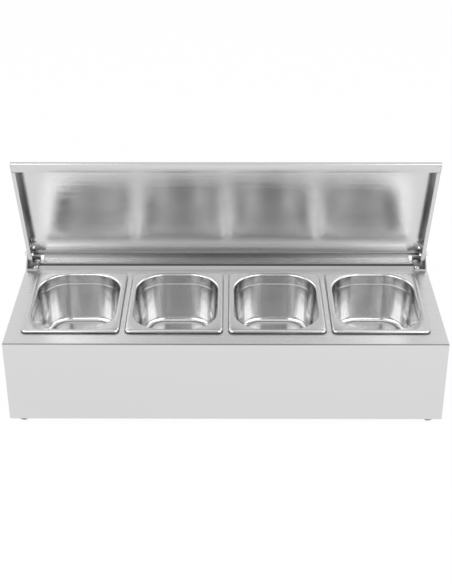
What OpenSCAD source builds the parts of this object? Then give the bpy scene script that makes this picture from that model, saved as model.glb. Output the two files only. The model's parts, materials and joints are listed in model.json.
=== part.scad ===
// Countertop condiment caddy in stainless sheet: a low housing with four lift-out
// gastronorm pans in its deck, under one full-width lid hinged on two ear brackets.
// Millimetres. X runs along the front, +Y to the back, +Z up from the surface that
// it stands on. The origin is the middle of the housing's footprint.

/* [Pans] */
// Outer width of a pan's rim
pan_rim_w = 162; // [150:1:176]
// Outer depth of a pan's rim, front to back
pan_rim_d = 180; // [160:1:190]
// Depth of a pan, from the top of its rim to the outside of its floor
pan_depth = 93; // [65:1:120]
// Sheet thickness of the pans
pan_t = 0.8; // [0.6:0.1:1.2]
// Height of the rim's turned-down edge
rim_drop = 5; // [4:0.5:6]
// Flat of the rim between its two bends, at the pan's sides
side_land = 3.5; // [2:0.5:6]
// Flat of the rim between its two bends, at the pan's front and back
end_land = 0.4; // [0.2:0.2:4]
// Corner radius of the rim
rim_corner = 9; // [6:1:14]
// Corner radius of the pan's mouth
mouth_corner = 50; // [40:1:66]
// Height of the straight wall above the stacking shoulder
shoulder_drop = 22; // [16:1:28]
// How far the stacking shoulder steps in
shoulder_step = 1; // [0.5:0.5:4]
// How far each wall leans in between the shoulder and the floor
wall_lean = 6; // [3:1:10]
// Inner radius between a pan's walls and its floor
floor_round = 10; // [8:1:20]
// Clearance under a seated rim
rim_seat = 0.1; // [0.05:0.05:0.2]

/* [Housing] */
// Gap between the rims of neighbouring pans
pan_gap = 8; // [6:1:20]
// Deck left of the first rim and right of the last
side_margin = 24; // [20:1:40]
// Deck in front of the rims
front_margin = 29; // [26:1:50]
// Deck behind the rims, which carries the hinges
rear_margin = 51; // [48:1:80]
// Space under the pans, down to the housing's lower edge
under_pan = 64; // [40:1:90]
// Sheet thickness of the housing
wall_t = 1.2; // [1:0.1:2]
// Outer radius of the housing's bends
wall_bend = 2.5; // [2.2:0.1:4]
// Width of the return flange along the lower edges
return_w = 14; // [12:1:15]
// Clearance between a pan's mouth and the deck's cut-out
cutout_clear = 2.2; // [1.5:0.1:3]

/* [Base and feet] */
// Thickness of the base plate
base_t = 1.2; // [1:0.1:2]
// How far the base plate's edge stays inside the housing's edge
base_inset = 3; // [2:0.5:5]
// Height of a foot
foot_h = 12; // [10:1:20]
// Diameter of a foot
foot_d = 27; // [22:1:30]
// Diameter of the rubber pad under a foot
pad_d = 13; // [10:1:16]
// Distance from the housing's sides to a foot's middle
foot_inset = 20; // [20:1:30]
// Thickness of the rubber pad under a foot
pad_t = 2; // [1.5:0.5:3]

/* [Lid] */
// Inner depth of the lid's pressing, outside face to free edge
lid_h = 28; // [26:1:34]
// Sheet thickness of the lid
lid_t = 1; // [0.8:0.1:1.2]
// Outer radius of the lid's bends
lid_bend = 2; // [1.8:0.1:3]
// How far the lid's front edge stays behind the housing's front
lid_front_inset = 5; // [3:1:10]
// How far the lid's back reaches behind the pivot
lid_overhang = 8.5; // [7:0.5:8.5]
// Gap between the deck and the closed lid at the pivot
lid_gap = 2.5; // [2.5:0.1:3]
// Run of the sloping front, along the lid
nose_run = 25; // [15:1:40]
// Height of the upright strip under the sloping front
nose_strip = 5; // [4:1:8]
// Width of the return lip at the lid's front
lip_w = 19.4; // [12:0.2:22]
// Width of the hem folded inwards along the lid's back edge
hem_w = 10.5; // [6:0.5:14]
// Width of the return lip along the lid's sides
side_lip_w = 6.3; // [4:0.1:6.5]
// Seam between the mitred front lip and its corner tabs
seam = 0.4; // [0.2:0.1:0.8]
// Opening angle at rest, from the closed lid
lid_open = 72; // [0:1:100]

/* [Hinge] */
// Height of the pivot above the deck
pivot_h = 20; // [20:0.5:24]
// Distance from the housing's back to the pivot
pivot_back = 12; // [10:0.5:14]
// Thickness of the bracket
bracket_t = 2; // [1.5:0.1:2.2]
// How far the bracket's ear stays inside the housing's end
ear_inset = 1; // [0:0.5:2]
// Radius of the ear's top
ear_r = 7.5; // [6.5:0.5:9]
// How far the bracket reaches in front of the pivot
ear_front = 24; // [23:1:28]
// Width of the bracket's foot
bracket_foot_w = 21; // [20:0.5:23]
// Shank diameter of the pivot bolt
pivot_d = 5; // [4:0.5:5.5]
// Radial clearance of the lid on the pivot bolt
pivot_clear = 0.05; // [0.02:0.01:0.08]
// Thickness of the plastic washer between ear and lid
washer_t = 1.5; // [1:0.1:2]
// Side play on each face of a moving joint
play = 0.15; // [0.1:0.05:0.3]
// Thickness of the lid's reinforcing strap
strap_t = 2; // [1.5:0.5:3]
// Distance from the pivot to the strap's own bolt
strap_bolt_at = 17; // [15:1:20]
// Widest opening angle, where the lid's back meets the bracket's stop
lid_stop = 100; // [95:1:105]

/* [Hidden] */
$fn = 64;

steel = "silver";
bright = "gainsboro";
dark_steel = "darkgray";
rubber = "dimgray";
nylon = "whitesmoke";

// housing
tip = 0.01;
pan_count = 4;
pitch = pan_rim_w + pan_gap;
body_w = pan_count * pan_rim_w + (pan_count - 1) * pan_gap + 2 * side_margin;
body_d = front_margin + pan_rim_d + rear_margin;
wall_z0 = foot_h + base_t;
deck_z = wall_z0 + under_pan + pan_depth - rim_drop;
row_y = -body_d / 2 + front_margin + pan_rim_d / 2;

// pans: the rim's two bends, and the mouth's distance from the rim's edge and half sizes
rim_bend = rim_drop - 1;
mouth_bend = 3;
rim_flat = rim_bend + side_land + mouth_bend;
end_flat = rim_bend + end_land + mouth_bend;
mouth_x = pan_rim_w / 2 - rim_flat;
mouth_y = pan_rim_d / 2 - end_flat;
mouth_r = min(mouth_corner, mouth_x - 2);
rim_z = deck_z + rim_seat + rim_drop;
floor_z = rim_z - pan_depth + pan_t;
shoulder_h = 4;
cutout_corner = mouth_r + pan_t + cutout_clear;
cutout_x = mouth_x + pan_t + cutout_clear;
cutout_y = mouth_y + pan_t + cutout_clear;

// lid, in its closed place around the pivot
pivot_y = body_d / 2 - pivot_back;
pivot_z = deck_z + pivot_h;
ear_out = body_w / 2 - ear_inset;
ear_in = ear_out - bracket_t;
lid_x = ear_in - washer_t - 2 * play;
lid_back = lid_overhang;
lid_front = -pivot_y - body_d / 2 + lid_front_inset;
lid_low = lid_gap - pivot_h;
lid_top = lid_low + lid_h;
notch_x = ear_out - bracket_foot_w - 8;
notch_top = 3;
swing_r = pivot_h - bracket_t - 0.8;

stop_gap = 0.4;
stop_t = 1.6;

// lid straps: reach behind and beside their holes
strap_behind = 6;
strap_ahead = 7;
strap_low = -9;
strap_tall = 16;

// fasteners
hole_clear = 0.05;
screw_r = 2;
screw_head_r = 4.5;
screw_head_h = 2.6;
screw_x = ear_out - bracket_foot_w + screw_head_r + 1;
screw_front = -18;
screw_back = 2;
screw_tail = 5;
recess_l = 5;
recess_w = 1;
recess_deep = 1.4;
bite = 0.1;
m4_flats = 7;
m4_nut_h = 3.2;
m5_flats = 8;
m5_nut_h = 4;
bolt_head_h = 3.5;
pivot_end = 1.5;
dome_nut_h = 9;
dome_nut_r = 3.7;
strap_head_r = 4;
washer_r = 6;
stud_r = 3;
stud_in = 6;
pad_r = pad_d / 2;
pad_recess = 0.5;
m6_flats = 10;
m6_nut_h = 5;
base_screw_at = 8.5;
base_screw_n = 5;
base_screw_r = 1.75;
base_head_r = 3.4;
base_head_h = 1.8;

// points of a folded sheet's face: the path's corners rounded, set in by t
function unit(v) = v / norm(v);
function left_of(v) = [-v[1], v[0]];
function turn(v, a) = [v[0] * cos(a) - v[1] * sin(a), v[0] * sin(a) + v[1] * cos(a)];
function bend_angle(u, w) = atan2(u[0] * w[1] - u[1] * w[0], u * w);
function corner(a, v, b, r, t, side, n = 4) =
    let (u = unit(v - a), w = unit(b - v), q = bend_angle(u, w))
    let (c = v - u * r * tan(abs(q) / 2) + left_of(u) * r * side)
    [for (i = [0:n]) c - turn(left_of(u) * side, q * i / n) * (r - t)];
function face(path, r, t, side) =
    let (last = len(path) - 1)
    concat(
        [path[0] + left_of(unit(path[1] - path[0])) * side * t],
        [for (i = [1:last - 1]) each corner(path[i - 1], path[i], path[i + 1], r, t, side)],
        [path[last] + left_of(unit(path[last] - path[last - 1])) * side * t]
    );
function reversed(v) = [for (i = [len(v) - 1:-1:0]) v[i]];

module folded(path, r, t, side) {
    polygon(concat(face(path, r, 0, side), reversed(face(path, r, t, side))));
}

// a profile in Y and Z, drawn out from x0 to x1
module along_x(x0, x1) {
    translate([x0, 0, 0]) rotate([90, 0, 90]) linear_extrude(x1 - x0) children();
}

// a rod along X
module rod(r, x0, x1) {
    translate([x0, 0, 0]) rotate([0, 90, 0]) cylinder(r = r, h = x1 - x0);
}

module hex_rod(flats, x0, x1) {
    translate([x0, 0, 0]) rotate([0, 90, 0])
        cylinder(r = flats / sqrt(3), h = x1 - x0, $fn = 6);
}

module rounded(hx, hy, r) {
    square([2 * (hx - r), 2 * hy], center = true);
    square([2 * hx, 2 * (hy - r)], center = true);
    for (sx = [-1, 1], sy = [-1, 1]) translate([sx * (hx - r), sy * (hy - r)]) circle(r);
}

module both_ends() {
    children();
    mirror([1, 0, 0]) children();
}

module at_corners(dx, dy) {
    for (sx = [-1, 1], sy = [-1, 1]) translate([sx * dx, sy * dy, 0]) children();
}

// ---- housing ----

module long_wall() {
    y = body_d / 2;
    path = [[y - wall_bend - tip, deck_z], [y, deck_z], [y, wall_z0], [y - return_w, wall_z0]];
    difference() {
        along_x(-body_w / 2, body_w / 2) folded(path, wall_bend, wall_t, -1);
        base_screw_holes(wall_z0 - 1, wall_t + 2);
    }
}

module front_panel() {
    color(steel) mirror([0, 1, 0]) long_wall();
}

module rear_panel() {
    color(steel) long_wall();
}

// fits inside the bends of the long walls, and between their return flanges
module end_wall() {
    y = body_d / 2 - wall_t;
    r = wall_bend - wall_t + hole_clear;
    x = body_w / 2;
    low = wall_z0 + wall_t;
    color(steel) {
        along_x(x - wall_t, x) {
            hull() for (s = [-1, 1], z = [low + r, deck_z - wall_t - r])
                translate([s * (y - r), z]) circle(r);
            translate([return_w - body_d / 2, wall_z0]) square([body_d - 2 * return_w, wall_t + r]);
        }
        translate([x - return_w, return_w - body_d / 2, wall_z0])
            cube([return_w - wall_t / 2, body_d - 2 * return_w, wall_t]);
    }
}

module left_end_panel() {
    mirror([1, 0, 0]) end_wall();
}

module right_end_panel() {
    end_wall();
}

module deck_plate() {
    d = body_d - 2 * (wall_bend + tip);
    color(steel) difference() {
        translate([-body_w / 2, -d / 2, deck_z - wall_t]) cube([body_w, d, wall_t]);
        for (i = [0:pan_count - 1]) translate([pan_x(i), row_y, deck_z - wall_t - 1])
            linear_extrude(wall_t + 2) rounded(cutout_x, cutout_y, cutout_corner);
        both_ends() bracket_holes() translate([0, 0, deck_z - wall_t - 1])
            cylinder(r = screw_r + hole_clear, h = wall_t + 2);
    }
}

module base_plate() {
    w = body_w - 2 * base_inset;
    d = body_d - 2 * base_inset;
    color(dark_steel) difference() {
        translate([-w / 2, -d / 2, foot_h]) cube([w, d, base_t]);
        base_screw_holes(foot_h - 1, base_t + 2);
        at_feet() translate([0, 0, foot_h - 1]) cylinder(r = stud_r + 0.25, h = base_t + 2);
    }
}

// screws along the two long edges, through the base plate and the return flanges
module at_base_screws() {
    span = body_w - 8 * foot_inset;
    for (i = [0:base_screw_n - 1], s = [-1, 1])
        translate([-span / 2 + i * span / (base_screw_n - 1), s * (body_d / 2 - base_screw_at), 0])
            children();
}

module base_screw_holes(z, h) {
    at_base_screws() translate([0, 0, z]) cylinder(r = base_screw_r, h = h);
}

module base_screws() {
    color(bright) at_base_screws() {
        translate([0, 0, foot_h - base_head_h])
            cylinder(r1 = base_head_r * 0.75, r2 = base_head_r, h = base_head_h);
        translate([0, 0, foot_h - bite]) cylinder(r = base_screw_r, h = base_t + wall_t + 3);
    }
}

module at_feet() {
    at_corners(body_w / 2 - foot_inset, body_d / 2 - foot_inset) children();
}

// a half dome against the base plate, cut flat below and recessed for its pad
module foot(sx, sy) {
    r = foot_d / 2;
    low = pad_t - pad_recess;
    dome_z = low + sqrt(r * r - (pad_r + 1) * (pad_r + 1));
    color(bright) translate([sx * (body_w / 2 - foot_inset), sy * (body_d / 2 - foot_inset), 0])
        difference() {
            intersection() {
                union() {
                    translate([0, 0, dome_z]) sphere(r);
                    translate([0, 0, dome_z]) cylinder(r = r, h = foot_h);
                }
                translate([0, 0, low]) cylinder(r = r + 1, h = foot_h - low);
            }
            translate([0, 0, low - 1]) cylinder(r = pad_r, h = 1 + pad_recess);
            translate([0, 0, foot_h - stud_in]) cylinder(r = stud_r, h = stud_in + 1);
        }
}

module foot_front_left() {
    foot(-1, -1);
}

module foot_front_right() {
    foot(1, -1);
}

module foot_rear_left() {
    foot(-1, 1);
}

module foot_rear_right() {
    foot(1, 1);
}

module foot_pads() {
    color(rubber) at_feet() cylinder(r = pad_r, h = pad_t);
}

module foot_studs() {
    color(bright) at_feet() translate([0, 0, foot_h - stud_in])
        cylinder(r = stud_r, h = stud_in + base_t + m6_nut_h + 2);
}

module foot_nuts() {
    color(bright) at_feet() translate([0, 0, wall_z0]) difference() {
        cylinder(r = m6_flats / sqrt(3), h = m6_nut_h, $fn = 6);
        translate([0, 0, -1]) cylinder(r = stud_r, h = m6_nut_h + 2);
    }
}

// ---- hinges ----

module at_pivot() {
    translate([0, pivot_y, pivot_z]) children();
}

module bracket_holes() {
    for (y = [screw_front, screw_back]) translate([screw_x, pivot_y + y, 0]) children();
}

// ear plate and foot from one bent strip, with the foot's back turned up as a stop
module hinge_bracket() {
    a = -pivot_h;
    back = ear_r;
    // how low the lid's back corner swings at its widest opening
    stop_z = lid_top * cos(lid_stop) - lid_back * sin(lid_stop);
    color(dark_steel) difference() {
        at_pivot() {
            along_x(ear_in, ear_out) union() {
                circle(ear_r);
                polygon([
                    [-ear_front, a], [back, a], [back, 0], [0, ear_r],
                    [-ear_r * cos(35), ear_r * sin(35)], [-ear_front, a + bracket_t + 3]
                ]);
            }
            translate([ear_out - bracket_foot_w, -ear_front, a])
                cube([bracket_foot_w - bracket_t / 2, ear_front + lid_back + stop_gap + stop_t, bracket_t]);
            translate([ear_out - bracket_foot_w, lid_back + stop_gap, a])
                cube([bracket_foot_w - bracket_t - 3, stop_t, stop_z - a - 0.2]);
        }
        at_pivot() rod(pivot_d / 2, ear_in - 1, ear_out + 1);
        bracket_holes() translate([0, 0, deck_z - 1]) cylinder(r = screw_r, h = bracket_t + 2);
    }
}

module left_hinge_bracket() {
    mirror([1, 0, 0]) hinge_bracket();
}

module right_hinge_bracket() {
    hinge_bracket();
}

module bracket_screw() {
    z = deck_z + bracket_t;
    translate([0, 0, z]) difference() {
        union() {
            cylinder(r = screw_head_r, h = screw_head_h * 0.45);
            translate([0, 0, screw_head_h * 0.45])
                cylinder(r1 = screw_head_r, r2 = screw_head_r * 0.6, h = screw_head_h * 0.55);
        }
        // cross recess
        for (a = [0, 90]) rotate(a) translate([-recess_l / 2, -recess_w / 2, screw_head_h - recess_deep])
            cube([recess_l, recess_w, recess_deep + 1]);
    }
    translate([0, 0, z - bracket_t - wall_t - screw_tail])
        cylinder(r = screw_r, h = bracket_t + wall_t + screw_tail + bite);
}

module bracket_screws() {
    color(bright) both_ends() bracket_holes() bracket_screw();
}

module bracket_nuts() {
    color(bright) both_ends() bracket_holes()
        translate([0, 0, deck_z - wall_t - m4_nut_h]) difference() {
        cylinder(r = m4_flats / sqrt(3), h = m4_nut_h, $fn = 6);
        translate([0, 0, -1]) cylinder(r = screw_r, h = m4_nut_h + 2);
    }
}

module pivot_bolt() {
    head_out = lid_x - lid_t - strap_t - play;
    color(bright) at_pivot() {
        hex_rod(m5_flats, head_out - bolt_head_h, head_out);
        rod(pivot_d / 2, head_out - bite, ear_out + m5_nut_h + pivot_end);
    }
}

module left_pivot_bolt() {
    mirror([1, 0, 0]) pivot_bolt();
}

module right_pivot_bolt() {
    pivot_bolt();
}

module pivot_nuts() {
    color(bright) both_ends() at_pivot() difference() {
        hex_rod(m5_flats, ear_out, ear_out + m5_nut_h);
        rod(pivot_d / 2, ear_out - 1, ear_out + m5_nut_h + 1);
    }
}

module pivot_washers() {
    color(nylon) both_ends() at_pivot() difference() {
        rod(washer_r, ear_in - washer_t, ear_in);
        rod(pivot_d / 2, ear_in - washer_t - 1, ear_in + 1);
    }
}

// ---- lid ----

// the closed lid, swung open about the pivot
module opened() {
    at_pivot() rotate([-lid_open, 0, 0]) children();
}

lid_path = [
    [lid_front + lip_w, lid_low], [lid_front, lid_low], [lid_front, lid_low + nose_strip],
    [lid_front + nose_run, lid_top], [lid_back, lid_top], [lid_back, lid_low]
];

// the mitre's edge: a triangle outside the front lip's 45-degree cut
module mitre(grow) {
    polygon([
        [lid_x + grow, lid_front - 1], [lid_x + grow, lid_front + lip_w + 1 + grow],
        [lid_x - lip_w - 1 - grow, lid_front + lip_w + 1 + grow], [lid_x + 1 - grow, lid_front - 1]
    ]);
}

module lid_sheet() {
    inside = lid_x - lid_t;
    // hem, folded flat against the back wall's inner face
    along_x(-notch_x, notch_x) hull() {
        translate([lid_back - 2 * lid_t, lid_low + hem_w - lid_t]) square([2 * lid_t, lid_t]);
        translate([lid_back - lid_t, lid_low + lid_t]) circle(lid_t);
    }
    difference() {
        along_x(-inside, inside) folded(lid_path, lid_bend, lid_t, -1);
        translate([-notch_x - 1, lid_back - 2 * lid_t, lid_low - 1])
            cube([2 * notch_x + 2, 2 * lid_t + 1, 2 * lid_t + 1]);
        both_ends() {
            translate([notch_x, lid_back - 2 * lid_t, lid_low - 1])
                cube([inside - notch_x + 1, 2 * lid_t + 1, notch_top - lid_low + 1]);
            translate([0, 0, lid_low - 1]) linear_extrude(lid_t + 1.01) difference() {
                mitre(0);
                translate([0, lid_front - 1]) square([lid_x + 1, 1 + lid_bend]);
            }
        }
    }
}

module lid_side() {
    inside = lid_x - lid_t;
    difference() {
        along_x(inside, lid_x) difference() {
            polygon(face(lid_path, lid_bend, 0, -1));
            difference() {
                translate([0, -pivot_h]) square([lid_back + 1, pivot_h]);
                circle(swing_r);
            }
        }
        rod(pivot_d / 2 + pivot_clear, inside - 1, lid_x + 1);
        translate([0, -strap_bolt_at, 0]) rod(pivot_d / 2, inside - 1, lid_x + 1);
    }
    // side lip, from the corner tab to the pivot
    translate([lid_x - side_lip_w, lid_front + lip_w + seam, lid_low])
        cube([side_lip_w - lid_t / 2, -1 - lid_front - lip_w - seam, lid_t]);
    // corner tab, a seam's width behind the mitred lip
    translate([0, 0, lid_low + seam]) linear_extrude(lid_t) polygon([
        [inside + lid_t / 2, lid_front + lid_bend + seam], [inside + lid_t / 2, lid_front + lip_w],
        [lid_x - lip_w + seam, lid_front + lip_w], [inside - seam, lid_front + lid_bend + seam]
    ]);
}

module lid_shell() {
    color(steel) opened() {
        lid_sheet();
        both_ends() lid_side();
    }
}

module hinge_strap() {
    x1 = lid_x - lid_t;
    y0 = -strap_bolt_at - strap_ahead;
    color(dark_steel) opened() difference() {
        translate([x1 - strap_t, y0, strap_low]) cube([strap_t, strap_behind - y0, strap_tall]);
        rod(pivot_d / 2 + pivot_clear, x1 - strap_t - 1, x1 + 1);
        translate([0, -strap_bolt_at, 0]) rod(pivot_d / 2, x1 - strap_t - 1, x1 + 1);
    }
}

module left_hinge_strap() {
    mirror([1, 0, 0]) hinge_strap();
}

module right_hinge_strap() {
    hinge_strap();
}

module strap_bolts() {
    x1 = lid_x - lid_t - strap_t;
    color(bright) opened() both_ends() translate([0, -strap_bolt_at, 0]) {
        rod(pivot_d / 2, x1 - 6, lid_x + bite);
        rod(strap_head_r, lid_x, lid_x + washer_t - 2 * play);
    }
}

// dome nuts on the inner ends of the strap bolts
module strap_nuts() {
    x1 = lid_x - lid_t - strap_t;
    color(bright) opened() both_ends() translate([0, -strap_bolt_at, 0]) difference() {
        union() {
            hex_rod(m5_flats, x1 - m5_nut_h, x1);
            rod(dome_nut_r, x1 - dome_nut_h + dome_nut_r, x1 - m5_nut_h + bite);
            translate([x1 - dome_nut_h + dome_nut_r, 0, 0]) sphere(dome_nut_r);
        }
        rod(pivot_d / 2, x1 - 6, x1 + 1);
    }
}

// ---- pans ----

function pan_x(i) = (i - (pan_count - 1) / 2) * pitch;

// one ring of a pan's skin: a rounded rectangle of half sizes hx and hy at height z
corner_steps = 8;
function ring(hx, hy, r, z) = [
    for (q = [0:3], j = [0:corner_steps])
        let (a = 90 * q + 90 * j / corner_steps)
        let (sx = (q == 0 || q == 3) ? 1 : -1, sy = q < 2 ? 1 : -1)
        [sx * (hx - r) + r * cos(a), sy * (hy - r) + r * sin(a), z]
];

// a ring at distance e inside the rim's outer edge
function inset_ring(e, r, z) = ring(pan_rim_w / 2 - e, pan_rim_d / 2 - e, r, z);

// below the rim, a corner's centre stays where the mouth's is, so its radius follows e
function wall_ring(e, z) = ring(
    pan_rim_w / 2 - e, pan_rim_d / 2 - e + rim_flat - end_flat, max(mouth_r + rim_flat - e, 4), z
);

// the rings of one skin, from the rim's lower edge over the rim and down to the floor:
// t = 0 is the skin that is seen, t = pan_t the one beneath it
function skin(t) =
    let (shoulder_z = rim_z - shoulder_drop, e0 = rim_flat - t, e1 = e0 + shoulder_step)
    let (floor_e = rim_flat + shoulder_step + wall_lean + floor_round)
    let (tilt = atan(wall_lean / (shoulder_z - floor_z)), fr = floor_round + t)
    concat(
        [inset_ring(t, rim_corner - t, rim_z - rim_drop)],
        [for (a = [0:30:90]) inset_ring(
            rim_bend - (rim_bend - t) * cos(a), rim_corner - rim_bend + (rim_bend - t) * cos(a),
            rim_z - rim_bend + (rim_bend - t) * sin(a))],
        [for (a = [0:22.5:90]) wall_ring(
            rim_flat - mouth_bend + (mouth_bend - t) * sin(a),
            rim_z - mouth_bend + (mouth_bend - t) * cos(a))],
        [for (k = [[0, 1], [0.15, 0.7], [0.85, 0.3], [1, 0]])
            wall_ring(e0 + (e1 - e0) * k[0], shoulder_z + shoulder_h * k[1])],
        [for (a = [0:18:90]) let (q = tilt + (90 - tilt) * a / 90)
            wall_ring(floor_e - fr * cos(q), floor_z + floor_round - fr * sin(q))]
    );

function quads(n, m) = [
    for (i = [0:n - 2], j = [0:m - 1])
        let (k = (j + 1) % m)
        each [[i * m + j, (i + 1) * m + j, (i + 1) * m + k], [i * m + j, (i + 1) * m + k, i * m + k]]
];

module pan(i) {
    upper = skin(0);
    lower = skin(pan_t);
    rings = concat(reversed(upper), lower);
    m = len(upper[0]);
    n = len(rings);
    color(bright) translate([pan_x(i), row_y, 0]) polyhedron(
        points = [for (r = rings) each r],
        faces = concat(
            quads(n, m),
            [[for (j = [0:m - 1]) j]],
            [[for (j = [m - 1:-1:0]) (n - 1) * m + j]]
        ),
        convexity = 6
    );
}

module pan_1() {
    pan(0);
}

module pan_2() {
    pan(1);
}

module pan_3() {
    pan(2);
}

module pan_4() {
    pan(3);
}

front_panel();
rear_panel();
left_end_panel();
right_end_panel();
deck_plate();
base_plate();
base_screws();
foot_front_left();
foot_front_right();
foot_rear_left();
foot_rear_right();
foot_pads();
foot_studs();
foot_nuts();
left_hinge_bracket();
right_hinge_bracket();
bracket_screws();
bracket_nuts();
left_pivot_bolt();
right_pivot_bolt();
pivot_nuts();
pivot_washers();
lid_shell();
left_hinge_strap();
right_hinge_strap();
strap_bolts();
strap_nuts();
pan_1();
pan_2();
pan_3();
pan_4();
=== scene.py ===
# %% [markdown]
# A countertop condiment caddy in stainless sheet. The solid parts arrive as a fixed frame,
# in metres: X along the front, +Y to the back, +Z up, with the floor at zero. This lesson
# gives them their finishes, redraws the drawn pans as smooth surfaces, and lights them.

import json
from math import cos, radians, sin

import bmesh
import bpy
import numpy as np
from mathutils import Matrix, Vector


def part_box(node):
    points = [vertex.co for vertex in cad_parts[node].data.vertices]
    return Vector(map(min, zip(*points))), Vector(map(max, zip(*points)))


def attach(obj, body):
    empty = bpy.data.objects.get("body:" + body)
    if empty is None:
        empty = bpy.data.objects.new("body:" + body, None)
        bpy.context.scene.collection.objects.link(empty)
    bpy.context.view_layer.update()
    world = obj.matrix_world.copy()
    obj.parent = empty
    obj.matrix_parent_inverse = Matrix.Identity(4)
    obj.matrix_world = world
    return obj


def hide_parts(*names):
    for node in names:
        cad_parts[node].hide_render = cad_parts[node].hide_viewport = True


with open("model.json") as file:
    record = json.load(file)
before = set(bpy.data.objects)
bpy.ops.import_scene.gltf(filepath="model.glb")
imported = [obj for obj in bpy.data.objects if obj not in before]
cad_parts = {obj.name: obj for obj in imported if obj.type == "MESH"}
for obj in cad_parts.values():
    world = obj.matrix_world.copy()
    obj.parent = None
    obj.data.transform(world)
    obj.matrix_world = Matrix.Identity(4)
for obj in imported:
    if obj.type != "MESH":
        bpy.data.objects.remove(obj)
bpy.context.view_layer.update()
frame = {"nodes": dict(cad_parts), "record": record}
record = frame["record"]
body_of = {n: b for b, ns in record["behaviour"]["bodies"].items() for n in ns}
slot_of = {s["node"]: s["material_slot"] for s in record["subparts"]}
scene = bpy.context.scene

# %% [markdown]
# The camera stands in front of the caddy and a little above it. Its film is shifted, as on
# a view camera, so that uprights stay nearly parallel: a turned camera alone would make the
# housing taper more. The three angles are turned into the camera's own axes by hand, which
# shows what a rotation matrix holds.

# %% Camera
IMAGE_HIGH = 584
FOCAL_PX = 1075.0
AXIS_ROW = 150.0
EYE = Vector((0.01073, -1.5518, 1.19626))
YAW, PITCH, ROLL = -0.0064, 0.4485, 0.0023
FILM = 36.0

forward = Vector((sin(YAW) * cos(PITCH), cos(YAW) * cos(PITCH), -sin(PITCH)))
level = Vector((cos(YAW), -sin(YAW), 0))
down = forward.cross(level)
right = level * cos(ROLL) + down * sin(ROLL)
down = down * cos(ROLL) - level * sin(ROLL)
axes_of_camera = Matrix((right, -down, -forward)).transposed().to_4x4()

camera_data = bpy.data.cameras.new("front_view")
camera_data.sensor_fit = "VERTICAL"
camera_data.sensor_height = FILM
camera_data.lens = FOCAL_PX / IMAGE_HIGH * FILM
camera_data.shift_y = (AXIS_ROW - IMAGE_HIGH / 2) / IMAGE_HIGH
camera = bpy.data.objects.new("front_view", camera_data)
camera.matrix_world = Matrix.Translation(EYE) @ axes_of_camera
scene.collection.objects.link(camera)
bpy.context.scene.camera = camera
print("lens", round(camera_data.lens, 2), "mm, shift", round(camera_data.shift_y, 3))

# %% [markdown]
# The room, the floor and every finish are trees of nodes. Two helpers keep them short. One
# adds a node, sets its switches, and gives each input a plain value or a link. The other
# makes a group, which is a tree with inputs and outputs of its own, so that one cause can
# shape many finishes.

# %% Nodes and groups
def added(tree, kind, inputs, **switches):
    """A new shader node. The inputs go by name or number, each to a value or a socket."""
    node = tree.nodes.new("ShaderNode" + kind)
    for switch, value in switches.items():
        setattr(node, switch, value)
    for socket, value in inputs.items():
        if isinstance(value, bpy.types.NodeSocket):
            tree.links.new(value, node.inputs[socket])
        else:
            node.inputs[socket].default_value = value
    return node


def grouped(name, inputs, outputs):
    """A node group with its (name, kind, usual value) inputs, and its two open ends."""
    tree = bpy.data.node_groups.new(name, "ShaderNodeTree")
    for socket, kind, value in inputs:
        made = tree.interface.new_socket(socket, in_out="INPUT", socket_type="NodeSocket" + kind)
        made.default_value = value
    for socket, kind in outputs:
        tree.interface.new_socket(socket, in_out="OUTPUT", socket_type="NodeSocket" + kind)
    start = tree.nodes.new("NodeGroupInput").outputs
    end = tree.nodes.new("NodeGroupOutput").inputs
    return tree, start, end


# %% [markdown]
# Sheet steel is mostly a picture of the room around it. A white tent gives the even pale
# grey of a product shot, and the dark slit that the lens looks through comes back wherever
# two faces meet square, as in the lid's hem and on the pans' floors. The tent glows a little
# more low down in front, and less behind. Directions are unit vectors here, so a span such
# as SLIT_SIDES runs over the X, Y or Z of a direction: nothing at its first value, all at
# its second.

# %% Room
ROOM_LEVEL, SLIT_LEVEL, LOW_FRONT, BACK_DIM = 1.0, 0.12, 0.4, 0.16
SLIT_UP = 0.58
SLIT_SIDES, SLIT_EDGES, SLIT_FRONT = (0.20, 0.03), (0.29, 0.17), (-0.2, -0.4)
LOW_BAND = (0.24, 0.08)
BACK_Y, BACK_Z = (-0.1, 0.15), (0.08, 0.3)
WHITE = (1, 1, 1, 1)

scene.view_settings.view_transform = "Standard"
world = bpy.data.worlds.new("white_room")
world.use_nodes = True
scene.world = world
sky = world.node_tree
sky.nodes.clear()


def fade(value, span, low=0.0, high=1.0):
    """A smooth step of a room value: low at the span's start, high at its end."""
    inputs = {"Value": value, "From Min": span[0], "From Max": span[1], "To Min": low, "To Max": high}
    return added(sky, "MapRange", inputs, interpolation_type="SMOOTHSTEP").outputs[0]


def worked(operation, first, second=0.0):
    """One sum on two room values."""
    return added(sky, "Math", {0: first, 1: second}, operation=operation).outputs[0]


heading = added(sky, "TexCoord", {}).outputs["Generated"]
axes = added(sky, "SeparateXYZ", {0: heading}).outputs
sideways = fade(worked("ABSOLUTE", axes["X"]), SLIT_SIDES)
off_line = worked("ABSOLUTE", worked("SUBTRACT", axes["Z"], SLIT_UP))
in_front = fade(axes["Y"], SLIT_FRONT)
slit = worked("MULTIPLY", worked("MULTIPLY", sideways, fade(off_line, SLIT_EDGES)), in_front)
low_glow = worked("MULTIPLY", in_front, fade(axes["Z"], LOW_BAND, 0.0, LOW_FRONT))
low_glow = worked("MULTIPLY", low_glow, sideways)
dimmer = worked("MULTIPLY", fade(axes["Y"], BACK_Y), fade(axes["Z"], BACK_Z, 0.0, BACK_DIM))
room = worked("ADD", fade(slit, (0.0, 1.0), ROOM_LEVEL, SLIT_LEVEL), low_glow)
room = worked("SUBTRACT", room, dimmer)

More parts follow.
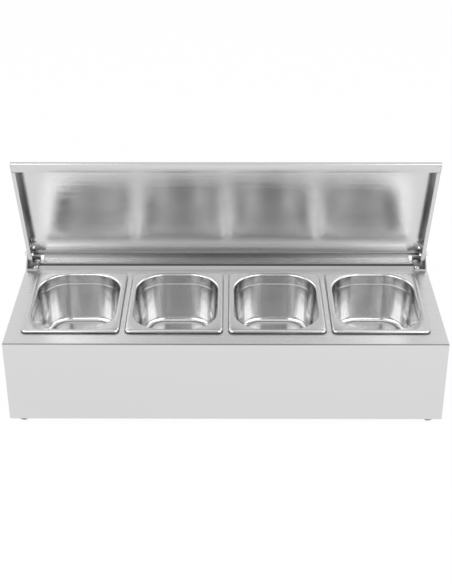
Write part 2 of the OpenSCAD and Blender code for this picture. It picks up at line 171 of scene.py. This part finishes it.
is_seen = added(sky, "LightPath", {}).outputs["Is Camera Ray"]
lit = added(sky, "Background", {"Color": WHITE, "Strength": room})
seen = added(sky, "Background", {"Color": WHITE})
sky_mix = added(sky, "MixShader", {"Fac": is_seen, 1: lit.outputs[0], 2: seen.outputs[0]})
added(sky, "OutputWorld", {"Surface": sky_mix.outputs[0]})

# %% [markdown]
# Two soft boxes, one at each side and the same size, put bright lines on the bends and the
# pale patches in the pans' corners.

# %% Soft boxes
BOX_PLACE, BOX_AIM = (1.45, -1.55, 1.35), (0, 0, 0.15)
BOX_WIDE, BOX_HIGH, BOX_WATTS = 2.2, 1.3, 24


def soft_box(name, side):
    """A rectangular lamp on one side, turned so that its -Z axis points at BOX_AIM."""
    data = bpy.data.lights.new(name, "AREA")
    data.shape = "RECTANGLE"
    data.size, data.size_y, data.energy = BOX_WIDE, BOX_HIGH, BOX_WATTS
    lamp = bpy.data.objects.new(name, data)
    place = Vector((side * BOX_PLACE[0], BOX_PLACE[1], BOX_PLACE[2]))
    turn = (Vector(BOX_AIM) - place).to_track_quat("-Z", "Y")
    lamp.matrix_world = Matrix.Translation(place) @ turn.to_matrix().to_4x4()
    scene.collection.objects.link(lamp)


soft_box("box_left", -1)
soft_box("box_right", 1)

# %% [markdown]
# The floor is white to the camera, and nearly so to reflections, but it is still a lit
# surface, so it keeps the soft shadow under the base. The glow that the steel mirrors of it
# is painted dimmer behind the caddy, as painted shade, where less light reaches the paper.

# %% Floor
FLOOR_HALF = 8
PAPER_TONE = (0.9, 0.9, 0.9, 1)
GLOW_SHARE = 0.94
GLOW_NEAR, GLOW_BEHIND = 0.96, 0.68
BEHIND_FROM, BEHIND_TO = 0.2, 0.5

floor_mesh = bpy.data.meshes.new("floor")
floor_corners = [(x * FLOOR_HALF, y * FLOOR_HALF, 0) for x, y in ((-1, -1), (1, -1), (1, 1), (-1, 1))]
floor_mesh.from_pydata(floor_corners, [], [(0, 1, 2, 3)])
floor = bpy.data.objects.new("floor", floor_mesh)
scene.collection.objects.link(floor)

paper = bpy.data.materials.new("white_paper")
paper.use_nodes = True
sheet = paper.node_tree
sheet.nodes.clear()
ray = added(sheet, "LightPath", {}).outputs
spot = added(sheet, "TexCoord", {}).outputs["Object"]
spot_y = added(sheet, "SeparateXYZ", {0: spot}).outputs["Y"]
# Painted shade: the glow the steel mirrors dims from GLOW_NEAR to GLOW_BEHIND behind the caddy.
behind = added(sheet, "MapRange", {"Value": spot_y, "From Min": BEHIND_FROM, "From Max": BEHIND_TO,
                                   "To Min": GLOW_NEAR, "To Max": GLOW_BEHIND})
white = added(sheet, "MapRange", {"Value": ray["Is Camera Ray"], "To Min": behind.outputs[0]})
looked_at = added(sheet, "Math", {0: ray["Is Camera Ray"], 1: ray["Is Glossy Ray"]}, operation="MAXIMUM")
share = added(sheet, "Math", {0: looked_at.outputs[0], 1: GLOW_SHARE}, operation="MULTIPLY")
matte = added(sheet, "BsdfDiffuse", {"Color": PAPER_TONE})
glow = added(sheet, "Emission", {"Color": WHITE, "Strength": white.outputs[0]})
paper_mix = added(sheet, "MixShader", {"Fac": share.outputs[0], 1: matte.outputs[0], 2: glow.outputs[0]})
added(sheet, "OutputMaterial", {"Surface": paper_mix.outputs[0]})
floor_mesh.materials.append(paper)

# %% [markdown]
# Every steel part has the same cause behind its look: long fine scratches that rolling and
# polishing leave along the sheet. One node group makes that grain, as noise stretched along
# X, and gives back a tone, a roughness and a height. Each finish sets its own numbers.

# %% Grain of rolled sheet
ROLLED, FINE = (6, 900, 900), (4, 2500, 2500)
NOISE_MIDDLE = 0.5

grain, g_in, g_out = grouped(
    "rolled_grain",
    (("Tone", "Color", (0.75, 0.75, 0.75, 1)), ("Tone Swing", "Float", 0.05),
     ("Roughness", "Float", 0.3), ("Roughness Swing", "Float", 0.06), ("Stretch", "Vector", ROLLED)),
    (("Tone", "Color"), ("Roughness", "Float"), ("Height", "Float")))
place = added(grain, "TexCoord", {}).outputs["Object"]
stretched = added(grain, "VectorMath", {0: place, 1: g_in["Stretch"]}, operation="MULTIPLY").outputs[0]
scratches = added(grain, "TexNoise", {"Vector": stretched, "Scale": 1.0, "Detail": 3.0}).outputs["Fac"]
centred = added(grain, "Math", {0: scratches, 1: NOISE_MIDDLE}, operation="SUBTRACT").outputs[0]
rough = added(grain, "Math", {0: centred, 1: g_in["Roughness Swing"], 2: g_in["Roughness"]},
              operation="MULTIPLY_ADD")
bright = added(grain, "Math", {0: centred, 1: g_in["Tone Swing"], 2: 1.0}, operation="MULTIPLY_ADD")
toned = added(grain, "VectorMath", {0: g_in["Tone"], "Scale": bright.outputs[0]}, operation="SCALE")
grain.links.new(toned.outputs[0], g_out["Tone"])
grain.links.new(rough.outputs[0], g_out["Roughness"])
grain.links.new(scratches, g_out["Height"])

# %% [markdown]
# Two more groups are shared. Along a fold little light gets in, and that shade is painted
# into the tone: a group measures how far a point is from a line parallel to X and gives a
# factor, which paints shade near the line, or a highlight where it is above 1. And a thin
# panel held by its folds bows a little, which bends everything it mirrors: a group gives
# that bow as a height, lean s + bend s^2, s being the way up the panel.

# %% Folds and bows
fold, f_in, f_out = grouped(
    "painted_fold_light",
    (("Line", "Vector", (0, 0, 0)), ("Near", "Float", 0.002), ("Far", "Float", 0.01),
     ("Level", "Float", 0.5)),
    (("Shade", "Float"),))
place = added(fold, "TexCoord", {}).outputs["Object"]
across = added(fold, "VectorMath", {0: place, 1: (0, 1, 1)}, operation="MULTIPLY").outputs[0]
away = added(fold, "VectorMath", {0: across, 1: f_in["Line"]}, operation="DISTANCE").outputs["Value"]
shade = added(fold, "MapRange", {"Value": away, "From Min": f_in["Near"], "From Max": f_in["Far"],
                                 "To Min": f_in["Level"], "To Max": 1.0},
              interpolation_type="SMOOTHSTEP")
fold.links.new(shade.outputs[0], f_out["Shade"])

bow, b_in, b_out = grouped(
    "sheet_bow",
    (("Foot", "Vector", (0, 0, 0)), ("Along", "Vector", (0, 0, 1)), ("Lean", "Float", 0.0),
     ("Bend", "Float", 0.0)),
    (("Height", "Float"),))
place = added(bow, "TexCoord", {}).outputs["Object"]
from_foot = added(bow, "VectorMath", {0: place, 1: b_in["Foot"]}, operation="SUBTRACT").outputs[0]
along = added(bow, "VectorMath", {0: from_foot, 1: b_in["Along"]}, operation="DOT_PRODUCT")
up_it = along.outputs["Value"]
slope = added(bow, "Math", {0: up_it, 1: b_in["Bend"], 2: b_in["Lean"]}, operation="MULTIPLY_ADD")
rise = added(bow, "Math", {0: slope.outputs[0], 1: up_it}, operation="MULTIPLY")
bow.links.new(rise.outputs[0], b_out["Height"])

# %% [markdown]
# A finish is one material. The housing's sheet is satin, the base is duller, as the mill
# left it, and the drawn pans have no grain. The hinge and the feet are of darker metal, the
# bolts are the brightest, and only the feet's pads and the washers aren't metal. The fold
# lines are in metres, at rest, and paint light into the tones: painted shade along the lid's
# crease, along its hem's fold and along the housing's front edge, a painted highlight along
# the hem's edge, and a painted shadow on the strip of deck under the hem.

# %% Finishes
def steel(name, grey, roughness, swing=0.05, rough_swing=0.06, stretch_by=ROLLED, depth=2e-5):
    """A metal whose tone, roughness and height come from the grain group."""
    made = bpy.data.materials.new(name)
    made.use_nodes = True
    tree = made.node_tree
    skin = tree.nodes["Principled BSDF"]
    skin.inputs["Metallic"].default_value = 1.0
    g = added(tree, "Group", {"Tone": (grey, grey, grey, 1), "Tone Swing": swing,
                              "Roughness": roughness, "Roughness Swing": rough_swing,
                              "Stretch": stretch_by}, node_tree=grain).outputs
    bump = added(tree, "Bump", {"Distance": depth, "Height": g["Height"]})
    tree.links.new(g["Tone"], skin.inputs["Base Color"])
    tree.links.new(g["Roughness"], skin.inputs["Roughness"])
    tree.links.new(bump.outputs["Normal"], skin.inputs["Normal"])
    return made


def plain(name, tone, roughness):
    """A dull coloured plastic or rubber with no grain of its own."""
    made = bpy.data.materials.new(name)
    made.use_nodes = True
    skin = made.node_tree.nodes["Principled BSDF"]
    skin.inputs["Base Color"].default_value = (*tone, 1)
    skin.inputs["Roughness"].default_value = roughness
    return made


def paint_fold_light(material, *lines):
    """Paint light into a steel's tone: multiply it by the shade of each (y, z, near, far,
    level) line, level up to near metres from the line, and 1 from far metres on. A level
    below 1 is painted shade, one above 1 a painted highlight."""
    tree = material.node_tree
    tone = tree.nodes["Principled BSDF"].inputs["Base Color"]
    for y, z, near, far, at_line in lines:
        g = added(tree, "Group", {"Line": (0, y, z), "Near": near, "Far": far, "Level": at_line},
                  node_tree=fold)
        before = tone.links[0].from_socket
        painted_tone = added(tree, "VectorMath", {0: before, "Scale": g.outputs["Shade"]}, operation="SCALE")
        tree.links.new(painted_tone.outputs[0], tone)


def bowed(material, foot, along, lean, bend):
    """Tilt a steel's normals by lean plus 2 bend s radians, s being the way along from foot."""
    tree = material.node_tree
    normal = tree.nodes["Principled BSDF"].inputs["Normal"]
    g = added(tree, "Group", {"Foot": foot, "Along": along, "Lean": -lean, "Bend": -bend},
              node_tree=bow)
    tilt = added(tree, "Bump", {"Distance": 1.0, "Height": g.outputs["Height"],
                                "Normal": normal.links[0].from_socket})
    tree.links.new(tilt.outputs["Normal"], normal)


finish = {
    "housing_steel": steel("housing_satin", 0.70, 0.34),
    "base_steel": steel("base_mill", 0.60, 0.45),
    "hinge_steel": steel("hinge_satin", 0.30, 0.30),
    "lid_steel": steel("lid_satin", 0.68, 0.20, depth=6e-5),
    "pan_steel": steel("pan_drawn", 0.69, 0.20, swing=0, rough_swing=0, depth=0),
    "bright_fasteners": steel("fastener_plate", 0.78, 0.15, depth=0),
    "foot_metal": steel("foot_plate", 0.26, 0.12, depth=0),
    "foot_rubber": plain("pad_rubber", (0.03, 0.03, 0.03), 0.7),
    "washer_plastic": plain("washer_nylon", (0.8, 0.8, 0.78), 0.5),
}
deck_steel = steel("deck_satin", 0.76, 0.28, stretch_by=FINE, depth=5e-6)
lid_panel = steel("lid_panel", 0.68, 0.15, stretch_by=FINE, depth=7e-5)
# Painted shade: the hollows behind the lid's side lips get about half the lid's tone.
lid_hollow_painted_shade = steel("lid_hollow_painted_shade", 0.36, 0.35)
# Painted shadow: the pans' rim edge is dark for the gap between the rim and the deck.
rim_gap_shadow = steel("pan_rim_painted_shadow", 0.22, 0.30, depth=0)

LID_TILT = radians(72)
LID_FOOT = (0, 0.118, 0.1852)
LID_UP = (0, -cos(LID_TILT), sin(LID_TILT))
LID_IN = (0, -sin(LID_TILT), -cos(LID_TILT))
LID_LEAN, LID_BEND = 0.02, 0.36
# Painted light along lines, as (y, z, near, far, level): painted shade at the lid's crease, at the hem's
# fold and at the housing's front edge, a painted highlight at the hem's edge, and a painted shadow on
# the deck under the hem.
CREASE_SHADE = (0.1295, 0.1805, 0.003, 0.024, 0.65)
HEM_EDGE_HIGHLIGHT = (0.1146, 0.1760, 0.0008, 0.0018, 1.3)
HEM_FOLD_SHADE = (0.1038, 0.1722, 0.0012, 0.003, 0.6)
FRONT_EDGE_SHADE = (-0.130, 0.1652, 0.001, 0.0024, 0.26)
UNDER_HEM_SHADOW = (0.112, 0.1652, 0.003, 0.006, 0.12)

# These lines paint their shade and highlight into the housing's, deck's and lid's tones.
paint_fold_light(finish["housing_steel"], FRONT_EDGE_SHADE)
paint_fold_light(deck_steel, FRONT_EDGE_SHADE, UNDER_HEM_SHADOW)
paint_fold_light(finish["lid_steel"], CREASE_SHADE, HEM_EDGE_HIGHLIGHT, HEM_FOLD_SHADE)
paint_fold_light(lid_panel, CREASE_SHADE, HEM_EDGE_HIGHLIGHT, HEM_FOLD_SHADE)
bowed(lid_panel, LID_FOOT, LID_UP, LID_LEAN, LID_BEND)
for name, node in frame["nodes"].items():
    node.data.materials.clear()
    node.data.materials.append(finish[slot_of[name]])
print("finishes", sorted(finish))

# %% [markdown]
# Folded sheet has no razor edges: its bends are round and its cut edges are eased. The
# frame's parts are loose triangles, so each part that shows from above or from a side is
# copied, its doubles are merged, flat faces are joined, and a fine bevel catches the light
# along every edge. The hinge's bolts and nuts and the feet get the same with a finer edge.
# The base plate with its screws, and the nuts and studs inside the housing, stay as they are.

# %% Eased parts
SHEET_EDGE, BRACKET_EDGE, BOLT_EDGE = 0.0003, 0.0004, 0.00012
MERGE_DIGITS = 7
FLAT_WITHIN, SMOOTH_UNDER, EASE_OVER = radians(0.5), radians(32), radians(35)
PANEL_ALIGNED, PANEL_REACH = 0.999, 0.2
HOLLOW_ALIGNED, HOLLOW_FROM = 0.9, 0.35


def loose_triangles(source):
    """The points of a mesh without doubles, and its triangles that keep three of them."""
    co = np.empty(len(source.vertices) * 3)
    source.vertices.foreach_get("co", co)
    corners = np.empty(len(source.loops), int)
    source.loops.foreach_get("vertex_index", corners)
    rounded = np.round(co.reshape(-1, 3), MERGE_DIGITS)
    points, same = np.unique(rounded, axis=0, return_inverse=True)
    tris = same.ravel()[corners].reshape(-1, 3)
    whole = np.all(tris != np.roll(tris, 1, axis=1), axis=1)
    return points, tris[whole]


def eased(name, edge):
    """A merged copy of a CAD part, smooth over its bends, with bevels edge wide."""
    points, tris = loose_triangles(frame["nodes"][name].data)
    mesh = bpy.data.meshes.new(name + "_eased")
    mesh.from_pydata(points, [], tris)
    bm = bmesh.new()
    bm.from_mesh(mesh)
    bmesh.ops.dissolve_limit(bm, angle_limit=FLAT_WITHIN, verts=bm.verts, edges=bm.edges)
    bm.to_mesh(mesh)
    bm.free()
    mesh.materials.append(finish[slot_of[name]])
    mesh.shade_smooth()
    mesh.set_sharp_from_angle(angle=SMOOTH_UNDER)
    piece = bpy.data.objects.new(name + "_eased", mesh)
    scene.collection.objects.link(piece)
    bevel = piece.modifiers.new("eased_edges", "BEVEL")
    bevel.width = edge
    bevel.segments = 2
    bevel.limit_method = "ANGLE"
    bevel.angle_limit = EASE_OVER
    bevel.harden_normals = True
    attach(piece, body_of[name])
    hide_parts(name)
    print(piece.name, len(mesh.polygons), "faces")
    return mesh


for part in ("front_panel", "rear_panel", "left_end_panel", "right_end_panel",
             "left_hinge_strap", "right_hinge_strap"):
    eased(part, SHEET_EDGE)
deck = eased("deck_plate", SHEET_EDGE)
deck.materials.clear()
deck.materials.append(deck_steel)
lid = eased("lid_shell", SHEET_EDGE)
for part in ("left_hinge_bracket", "right_hinge_bracket"):
    eased(part, BRACKET_EDGE)
for part in ("strap_nuts", "strap_bolts", "left_pivot_bolt", "right_pivot_bolt", "pivot_nuts",
             "pivot_washers", "bracket_screws", "foot_front_left", "foot_front_right",
             "foot_rear_left", "foot_rear_right", "foot_pads"):
    eased(part, BOLT_EDGE)

# %% [markdown]
# The lid is one sheet with three looks. Its flat inside is the bowed panel. The hollows
# behind its side lips face each other across the lid and see little light, so their tone is
# painted darker, as painted shade. Everything else keeps the satin. A face is told apart by
# where it points and where it is.

# %% Inside of the lid
lid.materials.append(lid_panel)
lid.materials.append(lid_hollow_painted_shade)
facing = np.empty(len(lid.polygons) * 3)
centre = np.empty(len(lid.polygons) * 3)
lid.polygons.foreach_get("normal", facing)
lid.polygons.foreach_get("center", centre)
facing, centre = facing.reshape(-1, 3), centre.reshape(-1, 3)
inner_panel = facing @ np.array(LID_IN) > PANEL_ALIGNED
inner_panel &= (centre - LID_FOOT) @ np.array(LID_UP) < PANEL_REACH
hollow = facing[:, 0] * np.sign(centre[:, 0]) < -HOLLOW_ALIGNED
hollow &= np.abs(centre[:, 0]) > HOLLOW_FROM
lid.polygons.foreach_set("material_index", np.where(inner_panel, 1, np.where(hollow, 2, 0)))
print("lid faces", inner_panel.sum(), "on the panel,", hollow.sum(), "in the hollows")

# %% [markdown]
# A gastronorm pan is drawn from one sheet in one stroke of a press, so it has no seams: a
# turned-down rim, a wide flat, a tight bend into the mouth, a stacking shoulder, leaning
# walls and a round floor edge. The pan is one section carried round a rounded rectangle:
# each ring keeps the section's height, inset and corner radius.

# %% Drawn pans
RIM_X, RIM_Y = 0.081, 0.090
SHEET = 0.0008
RIM_CORNER, RIM_BEND = 0.009, 0.004
SIDE_LAND, END_LAND = 0.0035, 0.0004
MOUTH_CORNER, MOUTH_BEND = 0.050, 0.003
RIM_FLAT = RIM_BEND + SIDE_LAND + MOUTH_BEND
SHOULDER_DROP, SHOULDER_STEP, SHOULDER_HIGH = 0.022, 0.001, 0.004
LEAN, FLOOR_ROUND, PAN_DEEP = 0.006, 0.010, 0.093
CENTRE_HALF, CENTRE_CORNER = 0.002, 0.0004
RIM_POINTS, MOUTH_POINTS, SHOULDER_POINTS, FLOOR_POINTS, FLOOR_RINGS = 7, 9, 9, 13, 5
CORNER_STEPS = 16
RING_POINTS = 4 * (CORNER_STEPS + 1)
SHARP_OVER = radians(50)


def arc(first, last, count):
    """Evenly spaced angles in radians from first to last degrees."""
    return np.radians(np.linspace(first, last, count))


def pan_section(t, top):
    """Rows of (inset, corner radius, height, extra length) from the rim's lower edge to the
    floor's middle. t is how far beneath the seen skin: each arc's radius grows or shrinks by
    it. Below the rim a corner's centre stays put, so its radius falls as the inset grows,
    and the pan gains at front and back what the rim's flat is narrower there."""
    shoulder = top - SHOULDER_DROP
    floor_z = top - PAN_DEEP + SHEET
    foot_inset = RIM_FLAT + SHOULDER_STEP + LEAN
    tilt = np.arctan(LEAN / (shoulder - floor_z))
    a = arc(0, 90, RIM_POINTS)
    rim = np.c_[RIM_BEND - (RIM_BEND - t) * np.cos(a),
                RIM_CORNER - RIM_BEND + (RIM_BEND - t) * np.cos(a),
                top - RIM_BEND + (RIM_BEND - t) * np.sin(a)]
    b = arc(0, 90, MOUTH_POINTS)
    mouth = np.c_[RIM_FLAT - MOUTH_BEND + (MOUTH_BEND - t) * np.sin(b),
                  top - MOUTH_BEND + (MOUTH_BEND - t) * np.cos(b)]
    s = np.linspace(0, 1, SHOULDER_POINTS)
    ease = s * s * (3 - 2 * s)
    step = np.c_[RIM_FLAT - t + SHOULDER_STEP * ease, shoulder + SHOULDER_HIGH * (1 - s)]
    q = arc(np.degrees(tilt), 90, FLOOR_POINTS)
    bowl = np.c_[foot_inset + FLOOR_ROUND - (FLOOR_ROUND + t) * np.cos(q),
                 floor_z + FLOOR_ROUND - (FLOOR_ROUND + t) * np.sin(q)]
    wall = np.vstack((mouth, step, bowl))
    wall = np.c_[wall[:, 0], MOUTH_CORNER + RIM_FLAT - wall[:, 0], wall[:, 1],
                 np.full(len(wall), SIDE_LAND - END_LAND)]
    end = wall[-1]
    inner = np.linspace(1 / FLOOR_RINGS, 1, FLOOR_RINGS)[:, None]
    middle = np.array([RIM_X - CENTRE_HALF, CENTRE_CORNER, end[2], 0])
    flat = end + (middle - end) * inner
    return np.vstack((np.c_[rim, np.zeros(len(rim))], wall, flat))


def rings_round(section, middle):
    """Each row of the section becomes a rounded rectangle round middle: a corner's points
    are its centre plus the corner radius times (cos a, sin a)."""
    a = np.concatenate([arc(90 * q, 90 * q + 90, CORNER_STEPS + 1) for q in range(4)])
    sx = np.repeat([1, -1, -1, 1], CORNER_STEPS + 1)
    sy = np.repeat([1, 1, -1, -1], CORNER_STEPS + 1)
    inset, r, z, longer = (section[:, k, None] for k in range(4))
    x = middle[0] + sx * (RIM_X - inset - r) + r * np.cos(a)
    y = middle[1] + sy * (RIM_Y - inset - r + longer) + r * np.sin(a)
    return np.stack((x, y, np.broadcast_to(z, x.shape)), axis=-1)


def grid_mesh(name, grid):
    """Quads between neighbouring rings of a grid of points, with a lid on each end ring."""
    n, m = grid.shape[:2]
    i, j = np.meshgrid(np.arange(n - 1), np.arange(m), indexing="ij")
    k = (j + 1) % m
    quads = np.stack((i * m + j, i * m + k, (i + 1) * m + k, (i + 1) * m + j), -1).reshape(-1, 4)
    lids = [list(range(m))[::-1], [(n - 1) * m + c for c in range(m)]]
    mesh = bpy.data.meshes.new(name)
    mesh.from_pydata(grid.reshape(-1, 3), [], quads.tolist() + lids)
    mesh.validate()
    mesh.shade_smooth()
    return mesh


def drawn_pan(number):
    """The seen skin from the floor up and over the rim, then the skin beneath it back down.
    The rim's cut edge is painted dark, with two rows of quads outside it and one row inside:
    painted shadow of the gap between the rim and the deck."""
    low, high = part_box(f"pan_{number}")
    middle, top = (low + high) / 2, high[2]
    section = np.vstack((pan_section(0, top)[::-1], pan_section(SHEET, top)))
    mesh = grid_mesh(f"pan_{number}_drawn", rings_round(section, middle))
    mesh.set_sharp_from_angle(angle=SHARP_OVER)
    mesh.materials.append(finish["pan_steel"])
    mesh.materials.append(rim_gap_shadow)
    edge_rows = len(section) // 2 - 1 + np.arange(-2, 2)
    edge_faces = edge_rows[:, None] * RING_POINTS + np.arange(RING_POINTS)
    index = np.zeros(len(mesh.polygons), int)
    index[edge_faces.ravel()] = 1
    mesh.polygons.foreach_set("material_index", index)
    piece = bpy.data.objects.new(mesh.name, mesh)
    scene.collection.objects.link(piece)
    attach(piece, body_of[f"pan_{number}"])
    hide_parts(f"pan_{number}")
    print(piece.name, len(mesh.polygons), "faces, top", round(top, 4))


for number in (1, 2, 3, 4):
    drawn_pan(number)
